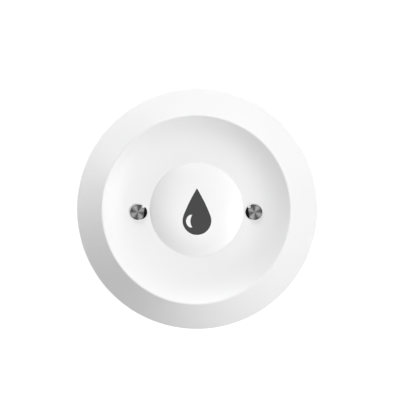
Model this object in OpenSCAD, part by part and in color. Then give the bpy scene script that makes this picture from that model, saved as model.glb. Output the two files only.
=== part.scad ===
// Water leak sensor: a round puck with a drip dish, a domed push button and metal probes.
// Millimetres, Z up. The origin is on the floor under the middle, and +X points to the right probe.

/* [Body] */
// Outer diameter of the body at its bottom edge
body_d = 72; // [71:0.5:84]
// Drop from the rim down to the shoulder of the side wall
flank_drop = 10; // [8:0.5:12]
// Outer diameter of the rim round the dish
rim_d = 54.7; // [53:0.1:58]
// Width of the flat land on top of the rim
rim_land = 0.4; // [0.2:0.1:0.8]
// Draft of the side wall, in degrees
side_draft = 3.5; // [1:0.5:5]
// Wall thickness of the top shell
wall = 1.8; // [1.5:0.1:2.2]
// Height of the seam between the top shell and the base shell
seam_z = 6; // [5.6:0.1:7]
// Open gap at the seam
seam_gap = 0.3; // [0.2:0.05:0.5]
// Bevel along the bottom edge of the base
edge_bevel = 0.8; // [0.4:0.1:1.2]

/* [Dish] */
// Depth of the drip dish below the rim
dish_depth = 3.6; // [3:0.1:4.5]
// Wall thickness under the dish
dish_wall = 1.7; // [1.4:0.1:2]
// How far the flat dish floor runs out past the middle of a probe
flat_margin = 1.05; // [0.5:0.05:2]

/* [Button] */
// Diameter of the domed button cap
button_d = 26.95; // [25.5:0.05:30]
// Travel of the button
button_travel = 0.5; // [0.3:0.05:0.6]
// Radial running clearance round the cap and its skirt
button_gap = 0.1; // [0.05:0.01:0.2]
// Spare depth under the cap when it is pressed
button_spare = 0.2; // [0.1:0.05:0.4]
// Height of the straight edge of the cap
brim_h = 1; // [0.7:0.1:1.4]
// Wall thickness of the cap
cap_wall = 1.8; // [1.6:0.1:2.2]
// Rise of the dome above its edge
dome_h = 2.5; // [1.8:0.1:3]
// Outer diameter of the skirt that guides the cap
skirt_d = 16.4; // [15:0.2:17.4]
// Wall thickness of the skirt
skirt_wall = 1; // [0.8:0.1:1.4]
// Reach of the snap hooks under the recess floor
hook_reach = 0.8; // [0.5:0.1:1]
// Height of the snap hooks
hook_h = 0.7; // [0.5:0.05:0.8]
// Width of the slots that part the snap hooks
hook_slot_w = 6; // [4:0.5:8]
// Diameter of the stem that presses the switch
stem_d = 5; // [4:0.5:6]
// Thickness of the recess floor under the cap
recess_floor_t = 1; // [0.8:0.1:1.4]
// Wall thickness round the recess
recess_wall = 1.5; // [1.2:0.1:1.8]

/* [Drop mark] */
// Height of the water drop
drop_h = 13.1; // [11:0.1:14]
// Width of the water drop
drop_w = 8.24; // [7:0.1:9]
// Thickness of the drop mark at its tip
mark_t = 0.3; // [0.2:0.05:0.4]
// Clearance round the drop mark
mark_gap = 0.02; // [0.01:0.01:0.05]
// Radius of the outer edge of the white crescent
crescent_r = 2.16; // [1.8:0.02:2.4]
// Radius of the circle that hollows the white crescent
crescent_hollow_r = 3.03; // [2.8:0.01:3.4]
// Distance between the middles of those two circles
crescent_step = 2.13; // [1.9:0.01:2.3]
// Distance from the middle of the drop to the middle of the crescent
crescent_shift = 1.06; // [0.8:0.02:1.3]
// Half height of the crescent between its blunt tips
crescent_half_h = 1.95; // [1.6:0.05:2.1]

/* [Boot] */
// Thickness of the silicone diaphragm
boot_t = 0.5; // [0.4:0.05:0.7]
// Height of the pad under its middle
boot_pad_h = 0.4; // [0.3:0.05:0.6]
// Width of its clamped rim
boot_rim_w = 2.4; // [2:0.1:2.6]
// Play between a hook or the stem and the diaphragm
boot_play = 0.1; // [0.05:0.05:0.2]
// Free width of the diaphragm round the hooks
boot_free = 1.2; // [0.8:0.1:1.4]
// Thickness of the retainer ring
retainer_t = 0.7; // [0.6:0.05:0.8]
// Width of the retainer ring outside the diaphragm
retainer_border = 0.3; // [0.1:0.1:0.6]
// Distance from the retainer ring to the thread of its screws
ear_reach = 1.8; // [1.5:0.1:2.2]
// Land of an ear round the thread of its screw
ear_land = 1.2; // [1:0.1:1.4]

/* [Drip probes] */
// Diameter of a probe's turned face
probe_face_d = 4.22; // [3.6:0.02:5]
// Thickness of a probe's head
probe_head_t = 0.8; // [0.6:0.1:1.2]
// Diameter of a probe's shank
probe_shank_d = 2; // [1.6:0.1:2.4]
// Overhang of the seal round the probe's face
seal_overhang = 0.12; // [0.05:0.01:0.3]
// Extra reach of the seal towards the button
seal_reach = 0.47; // [0.2:0.01:0.8]
// Part of that reach that moves the seal outwards
seal_offset = 0.07; // [0:0.01:0.15]
// Thickness of the seal
seal_t = 0.6; // [0.5:0.05:0.9]
// Depth of the seat of the seal in the dish floor
seal_seat = 0.3; // [0.2:0.05:0.4]
// Strip of dish floor between the button recess and a seal
probe_land = 0.62; // [0.5:0.05:2]
// How far the probes and the drop lie below the middle, as seen from above
sign_drop_y = 0.67; // [0:0.01:1]
// Diameter of the key that stops a probe from turning
key_d = 0.9; // [0.6:0.05:1.2]
// Angle of that key above the line of the probes, in degrees
key_angle = 40; // [30:1:50]

/* [Board] */
// Thickness of the circuit board
board_t = 1.2; // [0.8:0.1:1.6]
// Room between the battery bay and the board
board_room = 1; // [0.6:0.1:3]
// Clearance round the edge of the board
board_side_gap = 0.4; // [0.3:0.1:1]
// Width of the switch body
switch_w = 6; // [4.5:0.1:6.5]
// Height of the switch body
switch_h = 1.2; // [1.1:0.1:1.5]
// Diameter of the switch plunger
plunger_d = 2.4; // [2:0.1:3]
// Height of the plunger above the switch body
plunger_h = 0.6; // [0.55:0.05:0.8]
// Thickness of the switch body's floor
switch_floor_t = 0.1; // [0.05:0.05:0.2]
// Length of the radio module's shield can
radio_l = 15; // [12:0.5:16]
// Width of the radio module's shield can
radio_w = 9; // [7:0.5:9.5]
// Height of the radio module's shield can
radio_h = 2.2; // [1.6:0.1:2.6]
// Width of the controller chip
chip_w = 6; // [4:0.5:6.5]
// Height of the controller chip
chip_h = 0.9; // [0.7:0.1:1.2]
// Distance of the controller chip from the edge of the board
chip_inset = 2.5; // [2:0.1:4]
// Length of the status light
light_l = 1.6; // [1:0.1:2]
// Width of the status light
light_w = 0.8; // [0.5:0.1:1.2]
// Height of the status light
light_h = 0.7; // [0.4:0.1:0.9]

/* [Siren] */
// Diameter of the siren
siren_d = 12; // [9:0.5:12]
// Height of the siren
siren_h = 6.5; // [5:0.5:9]
// Gap between the siren and the battery bay
siren_gap = 0.5; // [0.3:0.1:0.8]
// Diameter of each sound hole
sound_hole_d = 1.6; // [1:0.1:2]
// Radius of the ring of sound holes
sound_ring_r = 3.2; // [2.8:0.1:4]
// Diameter of the vent membrane
vent_d = 10.4; // [9.6:0.2:11.5]
// Thickness of the vent membrane
vent_t = 0.3; // [0.2:0.05:0.5]

/* [Battery bay] */
// Diameter of a cell
cell_d = 10.5; // [10.2:0.1:11]
// Length of a cell with its nub
cell_l = 44.5; // [43:0.1:45]
// Diameter of the nub at the positive end
nub_d = 3.8; // [3:0.1:4.4]
// Length of the nub
nub_l = 1; // [0.8:0.1:1.2]
// Clearance round the cells
cell_gap = 0.2; // [0.1:0.05:0.4]
// Room for a contact at each end of the cells
contact_room = 2.95; // [2.7:0.05:3.1]
// How far each cell is pushed towards its positive end
cell_shift = 1.1; // [0.8:0.05:1.2]
// Thickness of the contact plates
contact_t = 0.4; // [0.3:0.05:0.5]
// Half width and half height of a contact plate
plate_half = 4; // [3:0.1:4.2]
// Half width of a terminal's tab
tab_half = 1; // [0.6:0.1:1.2]
// Slope of the bump that meets a cell's nub, outwards at its foot
bump_foot = 0.6; // [0.4:0.1:0.8]
// Slope of that bump, inwards at its tip
bump_tip = 0.4; // [0.2:0.1:0.6]
// Wire of the cell springs
cell_wire = 0.5; // [0.4:0.05:0.6]
// Radius of a cell spring at its plate
cell_spring_r = 3; // [2.6:0.1:3.4]
// Radius of a cell spring at its cell
cell_spring_tip_r = 2; // [1.6:0.1:2.4]
// Turns of a cell spring
cell_spring_turns = 3; // [2:1:4]
// Wall round the door recess
bay_wall = 1.4; // [1.2:0.1:1.6]
// Thickness of the bay's ceiling
ceiling_t = 0.8; // [0.7:0.1:1.2]

/* [Battery door] */
// Thickness of the battery door
door_t = 1.6; // [1.4:0.1:2]
// Corner radius of the battery door
door_corner_r = 2; // [1.5:0.1:3]
// Clearance round the door
door_gap = 0.25; // [0.15:0.05:0.4]
// Width of the ledge that the door closes on
door_ledge = 1.4; // [1.2:0.05:1.6]
// Thickness of the door gasket
gasket_t = 0.5; // [0.4:0.05:0.7]
// Width of the door gasket
gasket_w = 0.8; // [0.6:0.05:0.9]
// Margin between the gasket and the edge of the door
gasket_inset = 0.15; // [0.1:0.05:0.3]
// Clearance between the gasket and its ledge
gasket_play = 0.05; // [0.02:0.01:0.1]
// Width of each tongue of the door
tongue_w = 8; // [6:0.5:10]
// Reach of each tongue
tongue_reach = 1; // [0.8:0.1:1.2]
// Thickness of each tongue
tongue_t = 0.6; // [0.5:0.05:0.7]
// Height of the tongues above the outer face
tongue_rise = 0.6; // [0.5:0.05:0.8]
// Depth of the finger scoop
scoop_depth = 0.7; // [0.4:0.1:0.9]
// Radius of the finger scoop
scoop_r = 6; // [5:0.5:8]
// Length of the finger scoop
scoop_l = 16; // [12:1:20]
// Distance of the finger scoop from the door's free edge
scoop_inset = 3.5; // [3:0.1:5]

/* [Base] */
// Thickness of the base floor
floor_t = 1.8; // [1.6:0.1:2.2]
// Clearance between the base's lip and the top shell
lip_gap = 0.15; // [0.1:0.05:0.25]
// Thickness of the base's lip
lip_t = 2; // [1.8:0.1:2.2]
// Height of the lip above the seam
lip_h = 2.6; // [2.2:0.1:3]
// Diameter of the case seal's round cord
case_seal_d = 1; // [0.8:0.05:1.1]
// Play of the case seal in its groove
case_seal_play = 0.05; // [0.02:0.01:0.1]
// Height that the feet lift the base off the floor
foot_h = 1.2; // [0.9:0.1:2]
// Depth of a foot's pocket
foot_seat = 0.5; // [0.3:0.1:0.8]
// Margin between a foot and the bevelled edge
foot_margin = 0.8; // [0.4:0.1:1]
// Land between a foot and the door recess
foot_land = 1.4; // [1:0.1:2]
// Chamfer round the tread of a foot
foot_chamfer = 0.4; // [0.2:0.1:0.6]

/* [Floor probes] */
// Distance between the two floor probes
floor_probe_span = 22; // [20:0.5:26]
// Distance of the floor probes from the middle
floor_probe_y = 20.5; // [19.5:0.1:21]
// Diameter of a floor probe's head
floor_head_d = 5; // [4.8:0.1:6]
// Height of a floor probe's head
floor_head_h = 0.7; // [0.5:0.05:0.8]
// Diameter of a floor probe's shank
floor_shank_d = 2.3; // [2:0.1:2.5]
// Cord of the ring seal under a floor probe's head
floor_seal_d = 1; // [0.8:0.05:1.1]
// Chamfer round a floor probe's head
floor_head_chamfer = 0.4; // [0.2:0.1:0.5]
// Height of the boss inside the base
floor_boss_h = 2; // [1.5:0.1:3]
// Wall of that boss
floor_boss_wall = 2; // [1.6:0.1:2.4]
// Length of thread that stands above the nut
thread_end = 0.8; // [0.5:0.1:1]
// Wire of the contact springs
probe_wire = 0.4; // [0.3:0.05:0.5]
// Clearance between a contact spring and the thread inside it
spring_play = 0.25; // [0.15:0.05:0.4]
// Turns of a contact spring
probe_spring_turns = 7; // [5:1:9]

/* [Fasteners] */
// Diameter of a case screw
case_screw_d = 2.5; // [2:0.1:2.8]
// Length of a case screw under its head
case_screw_l = 11; // [9:0.5:12]
// Length of a case screw that stays in the base
case_grip = 4; // [3.5:0.1:4.5]
// Width of a case screw's head round its thread
case_head_rim = 1; // [0.8:0.1:1.2]
// Height of a case screw's head
case_head_h = 1.8; // [1.4:0.1:2]
// Depth of a case screw's head in the base
case_head_depth = 2; // [1.6:0.1:2.4]
// Height of the pillars that the case screws pull on
pillar_z = 10; // [9.2:0.2:11]
// Gap between a pillar and the wall of the top shell
pillar_gap = 0.2; // [0.1:0.05:0.4]
// Wall of the pillars and of the drip probes' bosses
boss_wall = 1.75; // [1.5:0.05:2]
// Wall of the case screws' bosses in the top shell
shell_boss_wall = 1.35; // [1.2:0.05:1.6]
// Diameter of a board screw
board_screw_d = 2; // [1.6:0.1:2.2]
// Length of a board screw under its head
board_screw_l = 5; // [4:0.5:6]
// Height of a board screw's head
board_head_h = 1.1; // [0.8:0.1:1.4]
// Wall of a board screw's boss
board_boss_wall = 1.4; // [1.2:0.1:1.6]
// How far the rim of that boss stands out round the screw's head
board_boss_rim = 0.5; // [0.3:0.1:0.8]
// Distance of that boss from the edge of the board
board_boss_inset = 0.55; // [0.3:0.05:1]
// Diameter of a retainer screw
retainer_screw_d = 1.4; // [1.2:0.1:1.6]
// Length of a retainer screw under its head
retainer_screw_l = 2.6; // [2.2:0.1:2.8]
// Height of a retainer screw's head
retainer_head_h = 0.6; // [0.5:0.05:0.7]
// Margin between a retainer screw's head and the edge of its ear
retainer_head_margin = 0.4; // [0.2:0.1:0.6]
// Depth of a cross recess, as a share of its head's height
cross_depth = 0.55; // [0.4:0.05:0.6]
// Reach of a cross recess, as a share of its head's radius
cross_reach = 0.6; // [0.5:0.05:0.7]
// Half width of a cross recess, as a share of its head's radius
cross_half = 0.14; // [0.1:0.01:0.18]
// Thickness of a nut
nut_t = 1.6; // [1.2:0.1:1.8]
// Width of a nut across its flats
nut_af = 4; // [3.8:0.1:4.4]
// Radial clearance of a plain screw or pin hole
hole_gap = 0.1; // [0.05:0.01:0.15]
// Radial clearance of a thread or of a seated piece
seat_gap = 0.02; // [0.01:0.01:0.05]

/* [Hidden] */
$fn = 96;
over = 1;

// Heights, from the floor up
under_z = foot_h;
floor_z = under_z + floor_t;
door_top_z = under_z + door_t;
ledge_z = door_top_z + gasket_t + gasket_play;
cell_z = ledge_z + cell_gap + cell_d / 2;
ceiling_z = cell_z + cell_d / 2 + cell_gap;
bay_top_z = ceiling_z + ceiling_t;
board_z = bay_top_z + board_room;
board_top_z = board_z + board_t;
switch_top_z = board_top_z + switch_h;
plunger_top_z = switch_top_z + plunger_h;
boot_pad_z = plunger_top_z + boot_play;
boot_z = boot_pad_z + boot_pad_h;
boot_top_z = boot_z + boot_t;
hook_z = boot_top_z + boot_play;
hook_top_z = hook_z + hook_h;
recess_z = hook_top_z + recess_floor_t;
brim_z = recess_z + button_travel + button_spare;
dish_z = brim_z + brim_h;
body_h = dish_z + dish_depth;
shoulder_z = body_h - flank_drop;
base_top_z = seam_z - seam_gap;
lip_top_z = seam_z + lip_h;

// Radii of the body
edge_z = under_z + edge_bevel;
function side_r(z) = body_d / 2 - (z - edge_z) * tan(side_draft);
shoulder_r = side_r(shoulder_z);
cavity_r = shoulder_r - wall;
lip_r = cavity_r - lip_gap;
flank_slope = flank_drop / (shoulder_r - rim_d / 2);
// Height of the flank at radius r, at depth t below its surface
function flank_z(r, t) = shoulder_z + (shoulder_r - r) * flank_slope - t * sqrt(1 + pow(flank_slope, 2));

// Button, dome and boot
button_r = button_d / 2;
recess_r = button_r + button_gap;
skirt_r = skirt_d / 2;
hook_r = skirt_r + hook_reach;
boot_in_r = hook_r + boot_free;
boot_r = boot_in_r + boot_rim_w;
retainer_r = boot_r + retainer_border;
dome_r = (pow(button_r, 2) + pow(dome_h, 2)) / (2 * dome_h);
dome_mid_z = dish_z + dome_h - dome_r;
drop_reach = drop_h / 2 + sign_drop_y;
mark_z = dome_mid_z + sqrt(pow(dome_r, 2) - pow(drop_reach, 2)) - mark_t;

// Drip probes
seal_r = probe_face_d / 2 + seal_overhang;
probe_x = recess_r + probe_land + seal_r + seal_reach - seal_offset;
seal_z = dish_z - seal_seat;
head_z = seal_z + seal_t;
key_x = seal_r * cos(key_angle);
key_y = seal_r * sin(key_angle);
flat_r = probe_x + flat_margin;
probe_boss_r = probe_shank_d / 2 + boss_wall;
probe_boss_z = board_top_z + nut_t;

// Dish
dish_run = rim_d / 2 - rim_land - flat_r;
dish_r = (pow(dish_run, 2) + pow(dish_depth, 2)) / (2 * dish_depth);

// Battery bay and door
bay_x = cell_l / 2 + contact_room;
bay_y = cell_d + 2 * cell_gap;
recess_x = bay_x + door_ledge;
recess_y = bay_y + door_ledge;
door_x = recess_x - door_gap;
door_y = recess_y - door_gap;
block_x = recess_x + bay_wall;
block_y = recess_y + bay_wall;
cell_y = cell_d / 2 + cell_gap / 2;
plate_x = bay_x - contact_t;
tongue_z = under_z + tongue_rise;
tongue_x = door_x / 2;

// Fasteners and feet
pillar_r = case_screw_d / 2 + boss_wall;
boss_r = case_screw_d / 2 + shell_boss_wall;
case_screw_r = cavity_r - pillar_r - pillar_gap;
case_head_r = case_screw_d / 2 + case_head_rim;
case_head_z = under_z + case_head_depth;
board_r = case_screw_r - boss_r - board_side_gap;
board_boss_r = board_screw_d / 2 + board_boss_wall;
board_screw_r = board_r - board_boss_r - board_boss_inset;
ear_r = retainer_r + retainer_screw_d / 2 + ear_reach;
ear_pad_r = retainer_screw_d / 2 + ear_land;
retainer_z = boot_z - retainer_t;
foot_out_r = body_d / 2 - edge_bevel - foot_margin;
foot_in_r = recess_x + foot_land;
foot_d = foot_out_r - foot_in_r;
foot_r = (foot_out_r + foot_in_r) / 2;
floor_boss_r = floor_shank_d / 2 + floor_boss_wall;
floor_boss_z = floor_z + floor_boss_h;
floor_nut_z = floor_boss_z + nut_t;
spring_r = floor_shank_d / 2 + probe_wire / 2 + spring_play;
siren_y = block_y + siren_d / 2 + siren_gap;

// Shapes that repeat

module rounded_rect(half_x, half_y, r) {
    square([2 * half_x, 2 * (half_y - r)], center = true);
    square([2 * (half_x - r), 2 * half_y], center = true);
    for (x = [-1, 1], y = [-1, 1])
        translate([x * (half_x - r), y * (half_y - r)])
            circle(r);
}

// Pan head screw pointing up, with the seat of its head at z = 0 and a cross recess from below
module screw(d, length, head_r, head_h) {
    recess = head_h * cross_depth;
    reach = head_r * cross_reach;
    half = head_r * cross_half;
    difference() {
        union() {
            cylinder(r = d / 2, h = length);
            translate([0, 0, -head_h])
                cylinder(r = head_r, h = head_h);
        }
        for (turn = [0, 90])
            rotate(turn)
                translate([-reach, -half, -head_h - over])
                    cube([2 * reach, 2 * half, recess + over]);
    }
}

module nut(bore_d) {
    difference() {
        cylinder(r = nut_af / sqrt(3), h = nut_t, $fn = 6);
        translate([0, 0, -over])
            cylinder(r = bore_d / 2 + seat_gap, h = nut_t + 2 * over);
    }
}

// Helical spring standing on z = 0: a wire with six sides and eight rings in each turn
spring_sides = 6;
spring_rings = 8;
function spring_ring(r, z, turn, wire) = [
    for (side = [0:spring_sides - 1])
        let (a = 360 * side / spring_sides, reach = r + wire / 2 * cos(a))
            [reach * cos(turn), reach * sin(turn), z + wire / 2 * sin(a)]
];
module spring(low_r, high_r, length, turns, wire) {
    last = turns * spring_rings;
    rise = length - wire;
    points = [
        for (i = [0:last])
            each spring_ring(
                low_r + (high_r - low_r) * i / last, wire / 2 + rise * i / last, 360 * i / spring_rings, wire
            )
    ];
    sides = [
        for (i = [0:last - 1], side = [0:spring_sides - 1])
            let (
                next = (side + 1) % spring_sides,
                a = i * spring_sides + side,
                b = i * spring_sides + next,
                c = a + spring_sides,
                d = b + spring_sides
            )
                each [[a, b, c], [b, d, c]]
    ];
    first_cap = [for (side = [1:spring_sides - 2]) [0, side + 1, side]];
    end = last * spring_sides;
    last_cap = [for (side = [1:spring_sides - 2]) [end, end + side, end + side + 1]];
    polyhedron(points, concat(sides, first_cap, last_cap));
}

module at_case_screws() {
    for (turn = [45:90:315])
        rotate(turn)
            translate([case_screw_r, 0, 0])
                children();
}

module at_board_screws() {
    for (turn = [135, 315])
        rotate(turn)
            translate([board_screw_r, 0, 0])
                children();
}

module at_retainer_screws() {
    for (turn = [90, 210, 330])
        rotate(turn)
            translate([ear_r, 0, 0])
                children();
}

// Places a right-hand probe, or its mirror image on the left
module at_drip_probe(side) {
    mirror([side < 0 ? 1 : 0, 0, 0])
        translate([probe_x, -sign_drop_y, 0])
            children();
}

module at_floor_probe(side) {
    translate([side * floor_probe_span / 2, -floor_probe_y, 0])
        children();
}

// Top shell

// Everything above the dish surface, or above a surface at depth t below it
module dish_cut(t) {
    translate([0, dish_z - t])
        square([flat_r, body_h]);
    translate([flat_r, dish_z + dish_r])
        circle(dish_r + t);
}

// Inside of the shell's outer wall and flank, at depth t
module inner_outline(t) {
    polygon([
        [0, seam_z - over],
        [shoulder_r - t, seam_z - over],
        [shoulder_r - t, flank_z(shoulder_r - t, t)],
        [0, flank_z(0, t)]
    ]);
}

module shell_profile() {
    difference() {
        union() {
            difference() {
                polygon([
                    [0, seam_z],
                    [side_r(seam_z), seam_z],
                    [shoulder_r, shoulder_z],
                    [rim_d / 2, body_h],
                    [0, body_h]
                ]);
                difference() {
                    inner_outline(wall);
                    dish_cut(dish_wall);
                }
            }
            translate([0, hook_top_z])
                square([recess_r + recess_wall, dish_z - dish_wall / 2 - hook_top_z]);
        }
        intersection() {
            dish_cut(0);
            square([body_d, 2 * body_h]);
        }
        translate([0, recess_z])
            square([recess_r, body_h]);
        square([skirt_r + button_gap, body_h]);
    }
}

module shell_bosses() {
    at_case_screws()
        translate([0, 0, pillar_z])
            cylinder(r = boss_r, h = body_h);
    at_board_screws()
        translate([0, 0, board_top_z])
            cylinder(r = board_boss_r, h = body_h);
    at_retainer_screws()
        translate([0, 0, boot_z])
            cylinder(r = ear_pad_r, h = body_h);
    for (side = [-1, 1])
        at_drip_probe(side)
            translate([0, 0, probe_boss_z])
                cylinder(r = probe_boss_r, h = body_h);
}

module seal_outline(grow) {
    translate([seal_offset, 0])
        circle(seal_r + grow);
    translate([seal_offset - seal_reach, 0])
        circle(seal_r + grow);
    translate([seal_offset - seal_reach, -seal_r - grow])
        square([seal_reach, 2 * (seal_r + grow)]);
}

module shell_holes() {
    at_case_screws()
        translate([0, 0, pillar_z - over])
            cylinder(r = case_screw_d / 2 + seat_gap, h = case_screw_l - case_grip);
    at_board_screws()
        translate([0, 0, board_top_z - over])
            cylinder(r = board_screw_d / 2 + seat_gap, h = board_screw_l);
    at_retainer_screws()
        translate([0, 0, boot_z - over])
            cylinder(r = retainer_screw_d / 2 + seat_gap, h = retainer_screw_l + over / 2);
    for (side = [-1, 1])
        at_drip_probe(side) {
            translate([0, 0, board_top_z])
                cylinder(r = probe_shank_d / 2 + hole_gap, h = body_h);
            difference() {
                translate([0, 0, seal_z])
                    linear_extrude(body_h)
                        seal_outline(seat_gap);
                translate([-key_x, key_y, 0])
                    cylinder(r = key_d / 2, h = head_z);
            }
        }
}

module top_shell() {
    color("white")
        difference() {
            union() {
                rotate_extrude()
                    shell_profile();
                intersection() {
                    shell_bosses();
                    rotate_extrude()
                        difference() {
                            inner_outline(wall / 2);
                            dish_cut(dish_wall / 2);
                        }
                }
            }
            shell_holes();
        }
}

// Button

// Round bar from height z up to depth t below the dome. The ball's poles lie on Y, clear of the dome
module dome_bar(z, t, r) {
    intersection() {
        translate([0, 0, z])
            cylinder(r = r, h = body_h);
        translate([0, 0, dome_mid_z])
            rotate([90, 0, 0])
                sphere(dome_r - t, $fn = 360);
    }
}

// Water drop: a round end and two straight sides, which are tucked a little into the round end
module drop_outline(grow) {
    low_r = drop_w / 2;
    apex_y = drop_h - low_r;
    tuck = 0.03;
    side_r = low_r - tuck + grow;
    lean = asin(side_r / (apex_y + grow));
    translate([0, low_r - drop_h / 2 - sign_drop_y])
        difference() {
            union() {
                circle(low_r + grow);
                polygon([
                    [0, apex_y + grow],
                    [-side_r * cos(lean), side_r * sin(lean)],
                    [side_r * cos(lean), side_r * sin(lean)]
                ]);
            }
            intersection() {
                translate([-crescent_shift, 0])
                    difference() {
                        circle(crescent_r - grow);
                        translate([crescent_step, 0])
                            circle(crescent_hollow_r + grow);
                    }
                translate([-drop_w, -crescent_half_h])
                    square([drop_w, 2 * crescent_half_h]);
            }
        }
}

module button_cap() {
    hook_in_r = skirt_r - skirt_wall;
    slot_in_r = stem_d / 2 + hole_gap;
    color("whitesmoke")
        difference() {
            union() {
                difference() {
                    dome_bar(brim_z, 0, button_r);
                    dome_bar(brim_z - over, cap_wall, button_r - cap_wall);
                }
                difference() {
                    union() {
                        dome_bar(hook_z, cap_wall / 2, skirt_r);
                        translate([0, 0, hook_z])
                            cylinder(r = hook_r, h = hook_h);
                    }
                    difference() {
                        dome_bar(hook_z - over, cap_wall, hook_in_r);
                        dome_bar(hook_z - 2 * over, 0, stem_d / 2);
                    }
                }
            }
            for (turn = [30, 150, 270])
                rotate(turn)
                    translate([slot_in_r, -hook_slot_w / 2, hook_z - over])
                        cube([hook_r - slot_in_r + over, hook_slot_w, brim_z - hook_z + over]);
            translate([0, 0, mark_z])
                linear_extrude(body_h)
                    drop_outline(0);
        }
}

module drop_mark() {
    color("dimgray")
        intersection() {
            translate([0, 0, mark_z])
                linear_extrude(body_h)
                    drop_outline(-mark_gap);
            dome_bar(brim_z, 0, button_r);
        }
}

module button_boot() {
    color("gainsboro")
        rotate_extrude() {
            translate([0, boot_z])
                square([boot_r, boot_t]);
            translate([boot_in_r, boot_z])
                square([boot_rim_w, hook_top_z - boot_z]);
            translate([0, boot_pad_z])
                square([stem_d / 2, boot_pad_h + boot_t / 2]);
        }
}

module boot_retainer() {
    color("ivory")
        translate([0, 0, retainer_z])
            linear_extrude(retainer_t)
                difference() {
                    union() {
                        circle(retainer_r);
                        for (turn = [90, 210, 330])
                            rotate(turn) {
                                translate([0, -ear_pad_r])
                                    square([ear_r, 2 * ear_pad_r]);
                                translate([ear_r, 0])
                                    circle(ear_pad_r);
                            }
                    }
                    circle(boot_in_r);
                    at_retainer_screws()
                        circle(retainer_screw_d / 2 + hole_gap);
                }
}

module retainer_screws() {
    color("silver")
        at_retainer_screws()
            translate([0, 0, retainer_z])
                screw(retainer_screw_d, retainer_screw_l, ear_pad_r - retainer_head_margin, retainer_head_h);
}

// Drip probes

module drip_probe(side) {
    stub = 0.5;
    color("silver")
        at_drip_probe(side)
            difference() {
                union() {
                    translate([0, 0, head_z])
                        cylinder(r = probe_face_d / 2, h = probe_head_t);
                    translate([0, 0, board_z - stub])
                        cylinder(r = probe_shank_d / 2, h = head_z - board_z + stub + probe_head_t / 2);
                }
                translate([-key_x, key_y, head_z - over])
                    cylinder(r = key_d / 2 + hole_gap, h = probe_head_t + 2 * over);
            }
}

module probe_seal(side) {
    color("black")
        at_drip_probe(side)
            translate([0, 0, seal_z])
                linear_extrude(seal_t)
                    difference() {
                        seal_outline(0);
                        circle(probe_shank_d / 2 + seat_gap);
                        translate([-key_x, key_y])
                            circle(key_d / 2 + seat_gap);
                    }
}

module probe_nuts() {
    color("silver")
        for (side = [-1, 1])
            at_drip_probe(side)
                translate([0, 0, board_top_z])
                    nut(probe_shank_d);
}

// Board

module terminal_slot(side, grow) {
    translate([bay_x - contact_t - grow, side * cell_y - tab_half - grow])
        square([contact_t + 2 * grow, 2 * (tab_half + grow)]);
}

module circuit_board() {
    color("darkgreen")
        translate([0, 0, board_z])
            linear_extrude(board_t)
                difference() {
                    circle(board_r);
                    for (side = [-1, 1]) {
                        at_drip_probe(side)
                            circle(probe_shank_d / 2 + hole_gap);
                        terminal_slot(side, hole_gap);
                    }
                    at_board_screws()
                        circle(board_screw_d / 2 + hole_gap);
                }
}

module board_screws() {
    color("silver")
        at_board_screws()
            translate([0, 0, board_z])
                screw(board_screw_d, board_screw_l, board_boss_r - board_boss_rim, board_head_h);
}

module radio_module() {
    lid = 0.3;
    color("lightgray")
        translate([0, -(board_r + ear_r) / 2, board_top_z]) {
            translate([-radio_l / 2, -radio_w / 2, 0])
                cube([radio_l, radio_w, radio_h - lid]);
            translate([-radio_l / 2 + lid, -radio_w / 2 + lid, radio_h - lid])
                cube([radio_l - 2 * lid, radio_w - 2 * lid, lid]);
        }
}

module controller_chip() {
    dimple = 0.2;
    dimple_r = 0.4;
    color("black")
        translate([board_r * cos(60), board_r * sin(60) - chip_w / 2 - chip_inset, board_top_z])
            difference() {
                translate([-chip_w / 2, -chip_w / 2, 0])
                    cube([chip_w, chip_w, chip_h]);
                translate([-chip_w / 3, chip_w / 3, chip_h - dimple])
                    cylinder(r = dimple_r, h = over);
            }
}

module tact_switch() {
    color("dimgray")
        difference() {
            translate([-switch_w / 2, -switch_w / 2, board_top_z])
                cube([switch_w, switch_w, switch_h]);
            translate([0, 0, board_top_z + switch_floor_t])
                cylinder(r = plunger_d / 2 + hole_gap, h = switch_h);
        }
}

module switch_plunger() {
    foot_z = board_top_z + switch_floor_t + button_travel + boot_play / 2;
    color("black")
        translate([0, 0, foot_z])
            cylinder(r = plunger_d / 2, h = plunger_top_z - foot_z);
}

module status_light() {
    color("lightyellow")
        translate([switch_w / 2 + light_w, -light_l / 2, board_top_z])
            cube([light_w, light_l, light_h]);
}

// Siren

module siren() {
    port_r = 1.2;
    color("black")
        translate([0, siren_y, board_z - siren_h])
            difference() {
                cylinder(r = siren_d / 2, h = siren_h);
                translate([0, 0, -over])
                    cylinder(r = port_r, h = 2 * over);
            }
}

module sound_vent() {
    color("gray")
        translate([0, siren_y, floor_z])
            cylinder(r = vent_d / 2, h = vent_t);
}

// Base

module base_profile() {
    difference() {
        union() {
            polygon([
                [0, under_z],
                [body_d / 2 - edge_bevel, under_z],
                [body_d / 2, edge_z],
                [side_r(base_top_z), base_top_z],
                [0, base_top_z]
            ]);
            translate([0, floor_z])
                square([lip_r, lip_top_z - floor_z]);
        }
        translate([0, floor_z])
            square([lip_r - lip_t, lip_top_z]);
    }
}

seal_mid_r = cavity_r - case_seal_play - case_seal_d / 2;
seal_mid_z = seam_z + lip_h / 2;

module base_solids() {
    rotate_extrude()
        base_profile();
    translate([0, 0, floor_z - floor_t / 2])
        linear_extrude(bay_top_z - floor_z + floor_t / 2)
            rounded_rect(block_x, block_y, door_corner_r + bay_wall);
    at_case_screws()
        translate([0, 0, floor_z - floor_t / 2])
            cylinder(r = pillar_r, h = pillar_z - floor_z + floor_t / 2);
    for (side = [-1, 1])
        at_floor_probe(side)
            translate([0, 0, floor_z - floor_t / 2])
                cylinder(r = floor_boss_r, h = floor_boss_h + floor_t / 2);
}

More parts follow.
